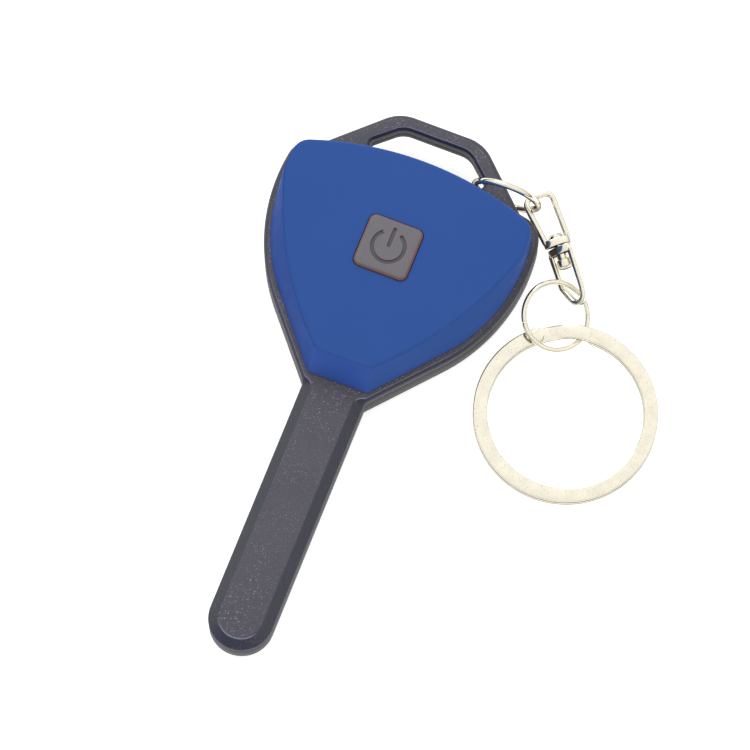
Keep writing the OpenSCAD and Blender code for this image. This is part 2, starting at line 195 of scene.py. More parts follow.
def case_plastic():
    """Dark grey moulding with metal flake; a painted glint makes the flakes strongest on the flats that look up,
    the bevels and walls carry painted shade, and a painted highlight runs along the front edge.
    """
    g = Graph("case_plastic")
    v = g.coords()
    tone = g.noise(v, 0.16, 3.0, 0.6)
    base = g.mix(tone, srgb(72, 70, 82), srgb(83, 81, 91))
    # Painted shade on the bevels: neutral on the left, darker on the right, navy in front; walls painted darkest
    up = g.remap(g.facing(), 0.93, 0.995, 0.0, 1.0)
    side = g.mix(g.remap(g.facing(0), -0.5, 0.1, 0.0, 1.0), srgb(62, 65, 73), srgb(57, 57, 70))
    side = g.mix(g.remap(g.facing(1), -0.55, -0.25, 1.0, 0.0), side, srgb(39, 41, 66))
    side = g.mix(g.remap(g.facing(), 0.05, 0.35, 1.0, 0.0), side, srgb(30, 30, 37))
    base = g.mix(up, side, base)
    flakes = g.cells(v, 4.6)
    sep = g.add("ShaderNodeSeparateColor")
    g.link(flakes.outputs["Color"], sep.inputs[0])
    lit = g.remap(sep.outputs[0], 0.52, 1.0, 0.0, 1.0)
    spot = g.remap(flakes.outputs["Distance"], 0.12, 0.42, 1.0, 0.0)
    patch = g.remap(g.noise(v, 0.3, 2.0), 0.38, 0.62, 0.3, 1.0)
    from_middle = g.math("ABSOLUTE", g.math("SUBTRACT", g.axis(v, 1), BLADE_MID_Y))
    ends = g.remap(from_middle, 7.0, 15.0, 0.5, 1.0, smooth=True)
    flake = g.math("MULTIPLY", g.math("MULTIPLY", lit, spot), g.math("MULTIPLY", patch, ends))
    # Painted glint: the flakes show at 22% on bevels and walls and in full on the flats that look up
    flake_with_painted_glint = g.math("MULTIPLY", flake, g.remap(up, 0.0, 1.0, 0.22, 1.0))
    base = g.mix(flake_with_painted_glint, base, srgb(196, 192, 204))
    # A painted highlight: a pale line where the flat meets the bevel in front
    edge = g.math("MULTIPLY", g.remap(g.facing(), 0.84, 0.9, 0.0, 1.0),
                  g.remap(g.facing(), 0.97, 0.99, 1.0, 0.0))
    edge = g.math("MULTIPLY", edge, g.remap(g.facing(1), -0.3, -0.15, 0.8, 0.0))
    base = g.mix(edge, base, srgb(150, 152, 176))
    dark = g.math("MULTIPLY", g.remap(g.noise(v, 4.0, 2.0), 0.34, 0.54, 0.5, 0.0), ends)
    base = g.mix(dark, base, srgb(58, 56, 64))
    g.set(Base_Color=base, Roughness=g.remap(flake_with_painted_glint, 0.0, 0.8, 0.52, 0.3), Specular_IOR_Level=0.45)
    g.bump(g.math("ADD", g.noise(v, 6.0, 3.0), g.math("MULTIPLY", flake, 0.6)), 0.02, 0.55)
    return g.mat


def cover_plastic():
    """Blue satin moulding with a very fine grain."""
    g = Graph("cover_plastic")
    v = g.coords()
    tone = g.noise(v, 0.07, 2.0)
    base = g.mix(tone, srgb(49, 83, 151), srgb(53, 86, 154))
    # Painted shade and light on the facets: those facing left are painted darker, those facing the front painted
    # lighter
    base = g.mix(g.remap(g.facing(0), -0.6, -0.3, 1.0, 0.0), base, srgb(42, 74, 146))
    base = g.mix(g.remap(g.facing(1), -0.75, -0.6, 1.0, 0.0), base, srgb(57, 90, 170))
    grain = g.noise(v, 9.0, 2.0)
    base = g.mix(g.remap(grain, 0.3, 0.7, 0.0, 0.10), base, srgb(66, 98, 172))
    # The cover's foot, just above the rim, is tinted warm
    foot = g.remap(g.axis(v, 2), RIM_Z1 + 0.1, RIM_Z1 + 0.3, 0.85, 0.0)
    base = g.mix(foot, base, srgb(112, 74, 72))
    g.set(Base_Color=base, Roughness=g.remap(g.noise(v, 0.5, 3.0), 0.3, 0.7, 0.5, 0.62),
          Specular_IOR_Level=0.04)
    g.bump(g.noise(v, 7.0, 4.0), 0.012, 0.5)
    return g.mat


def button_plastic():
    """Mid grey satin moulding; the sides take a faint warm tint."""
    g = Graph("button_plastic")
    v = g.coords()
    base = g.mix(g.noise(v, 0.5, 3.0), srgb(102, 100, 104), srgb(112, 109, 114))
    base = g.mix(g.remap(g.noise(v, 6.0, 2.0), 0.35, 0.65, 0.0, 0.25), base, srgb(127, 125, 129))
    # Painted shade: whatever lies below the cap's top face, such as the floor of the sunk mark, is painted darker
    sunk = g.remap(g.axis(v, 2), BUTTON_Z1 - 0.2, BUTTON_Z1 - 0.05, 0.8, 0.0)
    base = g.mix(sunk, base, srgb(80, 79, 85))
    base = g.mix(g.remap(g.facing(), 0.5, 0.97, 0.0, 1.0), srgb(150, 104, 92), base)
    g.set(Base_Color=base, Roughness=0.55, Specular_IOR_Level=0.35)
    g.bump(g.noise(v, 6.0, 3.0), 0.015, 0.5)
    return g.mat


def nickel():
    """Polished plating with fine wear scratches and faint cloudiness."""
    tint, rough = (0.98, 0.93, 0.77), 0.12
    g = Graph("nickel")
    v = g.coords()
    scratch = g.noise(g.coords((1.0, 7.0, 3.0)), 1.6, 5.0, 0.7)
    cloud = g.noise(v, 0.6, 3.0)
    base = g.mix(g.remap(cloud, 0.3, 0.7, 0.0, 1.0), tint, tuple(0.9 * c for c in tint))
    pits = g.remap(g.noise(v, 5.0, 2.0), 0.62, 0.72, 0.0, 0.35)
    base = g.mix(pits, base, (0.38, 0.35, 0.31))
    g.set(Base_Color=base, Metallic=1.0,
          Roughness=g.remap(scratch, 0.3, 0.7, rough - 0.05, rough + 0.1))
    # Plating turns dark at grazing angles
    g.bsdf.inputs["Specular Tint"].default_value = (0.03, 0.025, 0.02, 1.0)
    g.bump(scratch, 0.006, 0.35)
    return g.mat


def plain_plastic(name, low, high, rough, grain=5.0):
    """Moulding that drifts between two tones."""
    g = Graph(name)
    v = g.coords()
    base = g.mix(g.noise(v, 0.4, 3.0), low, high)
    g.set(Base_Color=base, Roughness=g.remap(g.noise(v, 1.5, 3.0), 0.3, 0.7, rough - 0.06, rough + 0.08))
    g.bump(g.noise(v, grain, 3.0), 0.015, 0.5)
    return g.mat


def metal(name, low, high, rough):
    """Bare metal drawn along one direction, between two tones."""
    g = Graph(name)
    v = g.coords((1.0, 6.0, 1.0))
    base = g.mix(g.noise(v, 0.8, 4.0), low, high)
    g.set(Base_Color=base, Metallic=1.0,
          Roughness=g.remap(g.noise(v, 2.0, 4.0), 0.3, 0.7, rough - 0.06, rough + 0.1))
    g.bump(g.noise(v, 3.0, 4.0), 0.004, 0.4)
    return g.mat


def circuit_board():
    """Green board with lighter tracks."""
    g = Graph("board")
    v = g.coords()
    line = g.cells(v, 0.9, "DISTANCE_TO_EDGE")
    track = g.remap(line.outputs["Distance"], 0.05, 0.08, 1.0, 0.0)
    base = g.mix(track, (0.01, 0.10, 0.035), (0.03, 0.22, 0.08))
    g.set(Base_Color=base, Roughness=0.3)
    g.bump(track, 0.02, 0.5)
    return g.mat


def phosphor_gel():
    """Yellow gel over the light chips."""
    g = Graph("phosphor")
    v = g.coords()
    base = g.mix(g.noise(v, 1.2, 3.0), (0.82, 0.60, 0.05), (0.95, 0.80, 0.16))
    g.set(Base_Color=base, Roughness=0.4)
    g.bump(g.noise(v, 2.0, 3.0), 0.05, 0.5)
    return g.mat


def lens_plastic():
    """Clear, slightly clouded window."""
    g = Graph("lens")
    v = g.coords()
    base = g.mix(g.noise(v, 0.5, 2.0), (0.90, 0.93, 0.95), (0.95, 0.97, 0.98))
    g.set(Base_Color=base, Roughness=g.remap(g.noise(v, 3.0, 3.0), 0.3, 0.7, 0.12, 0.25),
          Transmission_Weight=0.85, IOR=1.49)
    g.bump(g.noise(v, 4.0, 2.0), 0.01, 0.4)
    return g.mat


MATS = {
    "case_plastic": case_plastic(),
    "cover_plastic": cover_plastic(),
    "button_plastic": button_plastic(),
    "nickel": nickel(),
    "door_plastic": plain_plastic("door_plastic", srgb(62, 60, 66), srgb(72, 70, 76), 0.6, 3.0),
    "black_plastic": plain_plastic("black_plastic", (0.012, 0.012, 0.014), (0.03, 0.03, 0.033), 0.45),
    "plunger_plastic": plain_plastic("plunger_plastic", (0.45, 0.03, 0.02), (0.55, 0.05, 0.03), 0.4),
    "wire_red": plain_plastic("wire_red", (0.42, 0.015, 0.01), (0.55, 0.03, 0.02), 0.45),
    "contact_metal": metal("contact_metal", (0.72, 0.60, 0.36), (0.82, 0.70, 0.46), 0.28),
    "cell_steel": metal("cell_steel", (0.58, 0.58, 0.56), (0.70, 0.70, 0.68), 0.3),
    "screw_steel": metal("screw_steel", (0.42, 0.42, 0.43), (0.60, 0.60, 0.60), 0.3),
    "light_board": metal("light_board", (0.75, 0.75, 0.74), (0.86, 0.86, 0.85), 0.45),
    "board": circuit_board(),
    "phosphor": phosphor_gel(),
    "lens": lens_plastic(),
}

# Every CAD node that stays gets its slot's material
for part in frame["record"]["subparts"]:
    ob = NODES[part["node"]]
    ob.data.materials.clear()
    ob.data.materials.append(MATS[part["material_slot"]])


# ---------------------------------------------------------------- mesh helpers

def finish_mesh(ob, sharp=35.0):
    """Outward normals, smooth shading, and sharp edges over an angle."""
    bm = bmesh.new()
    bm.from_mesh(ob.data)
    bmesh.ops.remove_doubles(bm, verts=bm.verts, dist=2e-7)
    bmesh.ops.recalc_face_normals(bm, faces=bm.faces)
    bm.to_mesh(ob.data)
    bm.free()
    for p in ob.data.polygons:
        p.use_smooth = True
    ob.data.set_sharp_from_angle(angle=radians(sharp))


def new_object(name, bm):
    """Turns a bmesh into an object of the scene."""
    me = bpy.data.meshes.new(name)
    bmesh.ops.recalc_face_normals(bm, faces=bm.faces)
    bm.to_mesh(me)
    bm.free()
    ob = bpy.data.objects.new(name, me)
    scene.collection.objects.link(ob)
    return ob


def own(ob, body, slot, replaced, sharp):
    """Gives a finished piece its material and its body, and hides the CAD nodes it stands for."""
    finish_mesh(ob, sharp)
    ob.data.materials.clear()
    ob.data.materials.append(MATS[slot])
    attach(ob, body)
    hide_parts(*replaced)


def apply_modifiers(ob):
    """Bakes the modifiers into the mesh."""
    dg = bpy.context.evaluated_depsgraph_get()
    me = bpy.data.meshes.new_from_object(ob.evaluated_get(dg))
    ob.modifiers.clear()
    ob.data = me


def cut(ob, *cutters, operation="DIFFERENCE"):
    """Applies each cutter to the object and removes it."""
    for c in cutters:
        mod = ob.modifiers.new("cut", "BOOLEAN")
        mod.solver = "EXACT"
        mod.operation = operation
        mod.object = c
    apply_modifiers(ob)
    for c in cutters:
        bpy.data.objects.remove(c)
    return ob


def bevel(ob, width, angle, segments):
    """Rounds the edges over an angle."""
    mod = ob.modifiers.new("bevel", "BEVEL")
    mod.width = width * MM
    mod.segments = segments
    mod.limit_method = "ANGLE"
    mod.angle_limit = radians(angle)
    apply_modifiers(ob)
    return ob


def loft(bm, rings):
    """Skins rings of equal length, given in millimetres; returns the rings' vertices."""
    rows = [[bm.verts.new(Vector(p) * MM) for p in ring] for ring in rings]
    n = len(rows[0])
    for a, b in zip(rows, rows[1:]):
        for i in range(n):
            j = (i + 1) % n
            bm.faces.new((a[i], a[j], b[j], b[i]))
    return rows


def closed_loft(name, rings):
    """A solid skinned over rings, with a face at each end."""
    bm = bmesh.new()
    rows = loft(bm, rings)
    bm.faces.new(rows[0])
    bm.faces.new(rows[-1][::-1])
    return new_object(name, bm)


def inside(p, loop):
    """Whether a 2-D point lies inside a closed loop."""
    hit = False
    for a, b in zip(loop, loop[1:] + loop[:1]):
        if (a[1] > p[1]) != (b[1] > p[1]):
            if p[0] < a[0] + (p[1] - a[1]) / (b[1] - a[1]) * (b[0] - a[0]):
                hit = not hit
    return hit


def cap(bm, *loops):
    """Fills the flat region between closed loops of vertices: the first is its edge, the rest are holes."""
    verts = [v for loop in loops for v in loop]
    edges, first = [], 0
    for loop in loops:
        n = len(loop)
        edges += [(first + i, first + (i + 1) % n) for i in range(n)]
        first += n
    points = [Vector((v.co.x, v.co.y)) / MM for v in verts]
    holes = [[(v.co.x / MM, v.co.y / MM) for v in loop] for loop in loops[1:]]
    _, _, tris, origin, _, _ = delaunay_2d_cdt(points, edges, [], 1, 1e-6)
    for tri in tris:
        corners = [verts[origin[i][0]] for i in tri]
        mid = sum((v.co for v in corners), Vector()) / (3 * MM)
        if not any(inside(mid, hole) for hole in holes):
            bm.faces.new(corners)


def prism(name, loop, z0, z1):
    """A closed prism over a loop of 2-D points."""
    bm = bmesh.new()
    rows = loft(bm, [[(x, y, z) for x, y in loop] for z in (z0, z1)])
    cap(bm, rows[0])
    cap(bm, rows[1])
    return new_object(name, bm)


def from_cad(node, name, width, angle, segments):
    """A copy of a CAD node's shape with its edges rounded, to replace it."""
    bm = bmesh.new()
    bm.from_mesh(NODES[node].data)
    bmesh.ops.remove_doubles(bm, verts=bm.verts, dist=1e-6)
    bmesh.ops.dissolve_limit(bm, angle_limit=radians(0.6), verts=bm.verts, edges=bm.edges)
    return bevel(new_object(name, bm), width, angle, segments)


# ---------------------------------------------------------------- outlines

CORNERS = ((1, 1), (-1, 1), (-1, -1), (1, -1))


def flat(points):
    """The x and y of outline points, without their normals."""
    return [p[:2] for p in points]


def arc(c, r, a0, a1, n):
    """Points with outward normals along an arc, angles in degrees."""
    out = []
    for i in range(n + 1):
        a = radians(a0 + (a1 - a0) * i / n)
        out.append((c[0] + r * cos(a), c[1] + r * sin(a), cos(a), sin(a)))
    return out


def hollow_arc(c, r, a0, a1, n):
    """The same for a concave fillet, whose centre lies outside the outline."""
    return [(x, y, -nx, -ny) for x, y, nx, ny in arc(c, r, a0, a1, n)]


def line(p, q, n, steps):
    """Points from p to q with one normal."""
    return [(p[0] + (q[0] - p[0]) * i / steps, p[1] + (q[1] - p[1]) * i / steps, n[0], n[1])
            for i in range(steps + 1)]


def tidy(pts):
    """Drops points that repeat their neighbour."""
    out = []
    for p in pts:
        if not out or hypot(p[0] - out[-1][0], p[1] - out[-1][1]) > 1e-4:
            out.append(p)
    if hypot(out[0][0] - out[-1][0], out[0][1] - out[-1][1]) < 1e-4:
        out.pop()
    return out


def both_sides(half):
    """A closed outline from its right half, which runs from the top to the bottom."""
    left = [(-p[0], p[1], -p[2]) + tuple(p[3:]) for p in reversed(half)]
    return tidy(half + left)


class Shield:
    """The rounded shield of the case and of the cover, as part.scad draws it:
    a top arc, a corner, a side arc centred at wide_y, and a straight sloping flank."""

    TOP_STEPS, CORNER_STEPS, SIDE_STEPS, FLANK_STEPS = 40, 14, 48, 8

    def __init__(self, half, wide_y, side_r, slope, top_y, corner_r, corner_a=8.0):
        self.side_c = (half - side_r, wide_y)
        self.side_r, self.slope, self.corner_r, self.corner_a = side_r, slope, corner_r, corner_a
        a = radians(corner_a)
        reach = side_r - corner_r
        self.corner_c = (self.side_c[0] + reach * cos(a), self.side_c[1] + reach * sin(a))
        px, py = self.corner_c
        k = top_y - corner_r
        self.top_cy = (k * k - px * px - py * py) / (2 * (k - py))
        self.top_r = top_y - self.top_cy
        self.top_a = degrees(atan2(py - self.top_cy, px))

    def top(self, d):
        return arc((0, self.top_cy), self.top_r - d, 90.0, self.top_a, self.TOP_STEPS)

    def corner(self, d):
        return arc(self.corner_c, self.corner_r - d, self.top_a, self.corner_a, self.CORNER_STEPS)

    def side(self, d):
        return arc(self.side_c, self.side_r - d, self.corner_a, -self.slope, self.SIDE_STEPS)

    def foot(self, d, foot_x):
        """End of the straight flank at a given half-width."""
        s = radians(self.slope)
        x, y = (self.side_c[0] + (self.side_r - d) * cos(s), self.side_c[1] - (self.side_r - d) * sin(s))
        run = (x - foot_x) / sin(s)
        return (foot_x, y - run * cos(s))

    def loop(self, d, foot_x):
        """Its right half, drawn in by d, down to a foot of a given half-width."""
        s = radians(self.slope)
        n = (cos(s), -sin(s))
        foot = self.foot(d, foot_x)
        side = self.side(d)
        half = self.top(d) + self.corner(d) + side + line(side[-1][:2], foot, n, self.FLANK_STEPS)
        half += [(foot[0], foot[1], sin(radians(a)), -cos(radians(a)))
                 for a in (90 - self.slope, 30, 15, 0)]
        half += [(0.0, foot[1], 0.0, -1.0)]
        return half


HEAD = Shield(18.4, 5.7, 25.7, 40.8, 13.7, 3.6)
COVER = Shield(17.5, 5.4, 23.5, 40.2, 13.4, 3.3)
CREASE = Shield(19.0, 18.7, 49.0, 44.9, 24.4, 3.0, 2.0)
COVER_TOP = Shield(17.5, 5.4, 23.5, 40.2, 13.45, 2.6)
COVER_FOOT, CREASE_FOOT = 4.3, 3.65

BLADE_HALF = 4.4
ARCH_R, ARCH_FOOT_R = 5.4, 0.2
ARCH_C = (4.0, ARCH_Y - ARCH_R)
ARCH_FOOT = (16.8, 9.8)
ARCH_FILLET, NECK_FILLET = 1.1, 1.3
SLOT = ((3.6, 15.0, 3.15), (7.35, 14.6, 0.95))  # circles round its right half: x, y, radius


def case_outline():
    """The case's whole outline with blended inner corners.
    Each point carries its bevel's width and height."""
    head, blade, arch = (0.42, 0.42), (1.4, 0.95), (0.45, 0.45)
    # The leg of the arch leans along the common tangent of its two end circles
    dx, dy = ARCH_FOOT[0] - ARCH_C[0], ARCH_FOOT[1] - ARCH_C[1]
    dist = hypot(dx, dy)
    leg_a = degrees(atan2(dy, dx) + acos((ARCH_R - ARCH_FOOT_R) / dist))
    ln = (cos(radians(leg_a)), sin(radians(leg_a)))
    offset = ARCH_C[0] * ln[0] + ARCH_C[1] * ln[1] + ARCH_R
    top = line((0, ARCH_Y), (ARCH_C[0], ARCH_Y), (0, 1), 8)
    top += arc(ARCH_C, ARCH_R, 90, leg_a, 22)
    # Fillet between the leg and the head's top arc
    fr = ARCH_FILLET
    along = (ln[1], -ln[0])
    base = ((offset + fr) * ln[0], (offset + fr) * ln[1] - HEAD.top_cy)
    b = base[0] * along[0] + base[1] * along[1]
    c = base[0] ** 2 + base[1] ** 2 - (HEAD.top_r + fr) ** 2
    t = -b - sqrt(b * b - c)
    centre = (base[0] + t * along[0], base[1] + t * along[1] + HEAD.top_cy)
    touch = (centre[0] - fr * ln[0], centre[1] - fr * ln[1])
    arc_a = degrees(atan2(centre[1] - HEAD.top_cy, centre[0]))
    a0, a1 = leg_a + 180, arc_a + 180
    start = top[-1][:2]
    half = [p + arch for p in top + line(start, touch, ln, 14)]
    half += [p + arch for p in hollow_arc(centre, fr, a0, a1, 8)]
    half += [p + head for p in arc((0, HEAD.top_cy), HEAD.top_r, arc_a, HEAD.top_a, 8)]
    half += [p + head for p in HEAD.corner(0) + HEAD.side(0)]
    # Fillet between the flank and the blade
    s = radians(HEAD.slope)
    fn = (cos(s), -sin(s))
    foff = HEAD.side_c[0] * fn[0] + HEAD.side_c[1] * fn[1] + HEAD.side_r
    fr = NECK_FILLET
    cx = BLADE_HALF + fr
    cy = (foff + fr - cx * fn[0]) / fn[1]
    flank_end = (cx - fr * fn[0], cy - fr * fn[1])
    side_end = half[-1][:2]
    half += [p + head for p in line(side_end, flank_end, fn, 8)]
    neck = hollow_arc((cx, cy), fr, 180 - HEAD.slope, 180, 10)
    for i, p in enumerate(neck):
        f = i / (len(neck) - 1)
        f = f * f * (3 - 2 * f)
        wh = tuple(h + (b - h) * f for h, b in zip(head, blade))
        half.append(p + wh)
    end_y = TIP_Y + BLADE_HALF
    half += [p + blade for p in line((BLADE_HALF, cy), (BLADE_HALF, end_y), (1, 0), 30)]
    half += [p + blade for p in arc((0, end_y), BLADE_HALF, 0, -90, 36)]
    return both_sides(half)


def hull_loop(circles, steps=180):
    """Outline round circles (x, y, r) as points with outward normals."""
    out = []
    for i in range(steps):
        a = 2 * pi * i / steps
        n = (cos(a), sin(a))
        x, y, r = max(circles, key=lambda c: c[0] * n[0] + c[1] * n[1] + c[2])
        out.append((x + r * n[0], y + r * n[1], n[0], n[1]))
    return out


def spread(loop, step):
    """Adds points on long straight stretches of an outline."""
    out = []
    for p, q in zip(loop, loop[1:] + loop[:1]):
        n = max(1, int(hypot(q[0] - p[0], q[1] - p[1]) / step))
        for i in range(n):
            t = i / n
            m = [p[k] + (q[k] - p[k]) * t for k in range(4)]
            s = hypot(m[2], m[3])
            out.append((m[0], m[1], m[2] / s, m[3] / s))
    return out


def soft_corner(w, h, ease=0.3, n=5):
    """Profile of a bevel from (0, h) below the edge to (w, 0), with eased ends,
    as (inset, drop) pairs."""
    slant = hypot(w, h)
    e = ease * slant
    ux, uh = w / slant, h / slant
    pts = []

    def blend(a, b, c):
        for i in range(n + 1):
            t = i / n
            pts.append(tuple((1 - t) ** 2 * a[k] + 2 * t * (1 - t) * b[k] + t * t * c[k] for k in (0, 1)))

    blend((0, h + e), (0, h), (e * ux, h - e * uh))
    blend((w - e * ux, e * uh), (w, 0), (w + e, 0))
    return pts


# ---------------------------------------------------------------- case

def pocket(name, half, y0, y1, depth):
    """A rectangular cutter that reaches a depth above the parting plane."""
    return prism(name, [(-half, y0), (half, y0), (half, y1), (-half, y1)], PART_Z - 1, PART_Z + depth)


def make_front_case():
    """Front shell: rings of the outline up the wall and over the bevels, and the lanyard slot."""
    outline = case_outline()
    bm = bmesh.new()
    rings = []
    # The wall draws in towards the parting plane and leaves a groove there
    for d, z in ((0.16, PART_Z), (0.10, PART_Z + 0.06), (0.02, PART_Z + 0.13), (0.0, PART_Z + 0.22)):
        rings.append([(p[0] - p[2] * d, p[1] - p[3] * d, z) for p in outline])
    profiles = {}
    for p in outline:
        # Narrow bevels are eased more than the blade's wide one
        ease = 0.42 - 0.30 * min(1.0, max(0.0, (p[4] - 0.45) / 0.9))
        profiles.setdefault((p[4], p[5]), soft_corner(p[4], p[5], ease))
    steps = len(next(iter(profiles.values())))
    for k in range(steps):
        ring = []
        for p in outline:
            d, drop = profiles[(p[4], p[5])][k]
            ring.append((p[0] - p[2] * d, p[1] - p[3] * d, RIM_Z1 - drop))
        rings.append(ring)
    outer = loft(bm, rings)
    # Lanyard slot, with a rounded upper edge and a groove at the parting plane
    slot = spread(hull_loop([(s * x, y, r) for s in (-1, 1) for x, y, r in SLOT]), 0.6)
    slot_rings = []
    for d, drop in soft_corner(0.35, 0.35, 0.3)[::-1]:
        slot_rings.append([(p[0] + p[2] * d, p[1] + p[3] * d, RIM_Z1 - drop) for p in slot])
    for d, z in ((0.0, PART_Z + 0.2), (0.02, PART_Z + 0.12), (0.12, PART_Z)):
        slot_rings.append([(p[0] + p[2] * d, p[1] + p[3] * d, z) for p in slot])
    inner = loft(bm, slot_rings)
    cap(bm, outer[-1], inner[0])
    cap(bm, outer[0], inner[-1])
    ob = new_object("case_front", bm)
    head_wall, neck_wall = 2.3, 1.38
    opening = flat(both_sides(HEAD.loop(head_wall, BLADE_HALF - neck_wall)))
    cut(ob, prism("opening", opening, PART_Z - 1, RIM_Z1 + 1),
        pocket("light_pocket", 2.9, -55, -25, 0.75),
        pocket("wire_channel", 1.9, -26, -13, 0.74))
    own(ob, "case", "case_plastic", ["front_case"], 32)


def crease_loop(d):
    """Outline of the cover's flat top."""
    inset = 0.3 + d
    a = both_sides(COVER_TOP.loop(inset, COVER_FOOT - inset * 0.6))
    b = both_sides(CREASE.loop(d, CREASE_FOOT))
    pa, pb = flat(a), flat(b)
    return [p for p in a if inside(p[:2], pb)] + [p for p in b if inside(p[:2], pa)]


def rounded_hull(name, layers):
    """Convex hull of outlines, each (points, z, rounding radius, first and last angle)."""
    steps = 6
    bm = bmesh.new()
    for pts, z, r, a0, a1 in layers:
        for p in pts:
            for i in range(steps + 1):
                a = radians(a0 + (a1 - a0) * i / steps)
                bm.verts.new(Vector((p[0] + p[2] * r * cos(a), p[1] + p[3] * r * cos(a),
                                     z + r * sin(a))) * MM)
    bmesh.ops.convex_hull(bm, input=bm.verts, use_existing_faces=False)
    loose = [v for v in bm.verts if not v.link_faces]
    bmesh.ops.delete(bm, geom=loose, context="VERTS")
    return new_object(name, bm)


def rounded_square(half, r, n=10):
    """Outline points of a square with round corners."""
    pts = []
    for k, (cx, cy) in enumerate(CORNERS):
        pts += arc((cx * (half - r), cy * (half - r)), r, 90 * k, 90 * k + 90, n)
    return pts


def make_cover():
    """A hull from the cover's foot to the crease round its flat top, hollowed from below."""
    crease_r, foot_r, inner_r = 0.55, 0.14, 0.05
    wall, foot_wall, top_wall = 1.9, 1.14, 1.2
    hole_half, hole_r = 3.93, 1.1
    base = both_sides(COVER.loop(foot_r, COVER_FOOT - 0.08))
    ob = rounded_hull("cover_front", [
        (base, RIM_Z1 + 0.15, foot_r, -90, 90),
        (crease_loop(crease_r * 0.8), COVER_Z1 - crease_r, crease_r, 0, 90)])
    hollow = rounded_hull("hollow", [
        (both_sides(COVER.loop(wall, COVER_FOOT - foot_wall)), RIM_Z1 - 0.2, inner_r, -90, 0),
        (crease_loop(0.9), COVER_Z1 - top_wall, inner_r, 0, 90)])
    hole = prism("hole", flat(rounded_square(hole_half, hole_r)), RIM_Z1, COVER_Z1 + 1)
    cut(ob, hollow, hole)
    own(ob, "case", "cover_plastic", ["front_cover"], 50)


def make_button():
    """Cap, flange and stem of the power button, with the standby mark sunk in."""
    z0, z1 = (c.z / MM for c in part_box("power_button"))
    half, corner_r, edge, stem_r = 3.825, 1.0, 0.3, 1.5
    flange, lip, lip_t = 8.72, 0.8, 0.6
    rings = []
    base = rounded_square(half, corner_r, 12)
    for d, z in ((-lip, flange), (-lip, flange + lip_t), (0, flange + lip_t)):
        rings.append([(p[0] - p[2] * d, p[1] - p[3] * d, z) for p in base])
    for d, drop in soft_corner(edge, edge, 0.42):
        rings.append([(p[0] - p[2] * d, p[1] - p[3] * d, z1 - drop) for p in base])
    bm = bmesh.new()
    rows = loft(bm, rings)
    cap(bm, rows[0])
    cap(bm, rows[-1])
    ob = new_object("button_cap", bm)
    stem = prism("stem", flat(arc((0, 0), stem_r, 0, 352.5, 47)), z0, flange + 0.1)
    cut(ob, stem, operation="UNION")
    # The sunk standby mark: an open ring with round ends, and a bar
    depth = 0.22
    gap = 33.0
    mid, half_w = 2.2, 0.27
    ring = flat(arc((0, 0), mid + half_w, 90 + gap, 450 - gap, 60))
    e = (mid * cos(radians(90 - gap)), mid * sin(radians(90 - gap)))
    ring += flat(arc(e, half_w, 90 - gap, 270 - gap, 8))[1:-1]
    ring += flat(arc((0, 0), mid - half_w, 450 - gap, 90 + gap, 60))
    e = (-e[0], e[1])
    ring += flat(arc(e, half_w, 270 + gap, 90 + gap, 8))[1:-1]
    bar_top, bar_foot = (0, 2.55), (0, 0.15)
    bar = flat(arc(bar_top, half_w, 0, 180, 8) + arc(bar_foot, half_w, 180, 360, 8))
    cut(ob, prism("mark_ring", ring, z1 - depth, z1 + 1), prism("mark_bar", bar, z1 - depth, z1 + 1))
    own(ob, "button", "button_plastic", ["power_button"], 40)


make_front_case()
make_cover()
make_button()
# Parts that keep their CAD shape, with eased edges: edge width, angle and segments, sharp angle
for node, name, slot, width, angle, segments, sharp in (
        ("back_case", "case_back", "case_plastic", 0.16, 40, 2, 30),
        ("battery_door", "door_back", "door_plastic", 0.2, 40, 3, 30),
        ("door_screws", "door_screw_heads", "screw_steel", 0.07, 50, 2, 35),
        ("cob_lens", "light_window", "lens", 0.08, 50, 2, 35)):
    own(from_cad(node, name, width, angle, segments), "case", slot, [node], sharp)


# ---------------------------------------------------------------- chain

def joint_frame(joint):
    """A matrix at a joint, whose Z is its axis and whose X lies as near world X as it can."""
    z = Vector(joint["axis"]).normalized()
    x = Vector((1, 0, 0))
    x = (x - z * x.dot(z)).normalized()
    y = z.cross(x)
    m = Matrix((x, y, z)).transposed().to_4x4()
    return Matrix.Translation(Vector(joint["pos_m"]) / MM) @ m


def wire_ring(name, joint, node, r, wire, seam):
    """A bent wire ring with a hairline seam between its two flat-cut ends."""
    m = joint_frame(JOINTS[joint])
    n, k, gap, end_taper = 200, 24, 0.05, 0.86
    half_gap = degrees(gap / r) / 2
    rings = []
    for i in range(n + 1):
        a = radians(seam + half_gap + (360 - 2 * half_gap) * i / n)
        w = wire / 2 * (end_taper if i in (0, n) else 1.0)
        ring = []
        for j in range(k):
            b = 2 * pi * j / k
            ring.append(m @ Vector(((r + w * cos(b)) * cos(a), (r + w * cos(b)) * sin(a), w * sin(b))))
        rings.append(ring)
    own(closed_loft(name, rings), node, "nickel", [node], 60)


# Radius to the wire's middle, wire diameter, and the seam's angle
wire_ring("link_wire", "link_ring_turn", "link_ring", 4.55, 0.9, 200.0)
wire_ring("jump_wire", "jump_ring_turn", "jump_ring", 4.64, 0.72, 215.0)

spin = JOINTS["swivel_spin"]
SWIVEL = Vector(spin["pos_m"]) / MM
ALONG = Vector(spin["axis"]).normalized()
LEFT = Vector((0, 0, 1)).cross(ALONG).normalized()
GAP, BRIDGE = 0.12, 1.0  # from the spin centre to a bar, and the bar's thickness
ROUND_STEPS = 40


def swivel_frame(roll, turn=0.0):
    """A matrix at the swivel's centre: X along it, rolled about X, then turned about Z."""
    base = Matrix((ALONG, LEFT, ALONG.cross(LEFT))).transposed().to_4x4()
    return (Matrix.Translation(SWIVEL) @ base @ Matrix.Rotation(radians(roll), 4, "X")
            @ Matrix.Rotation(radians(turn), 4, "Z"))


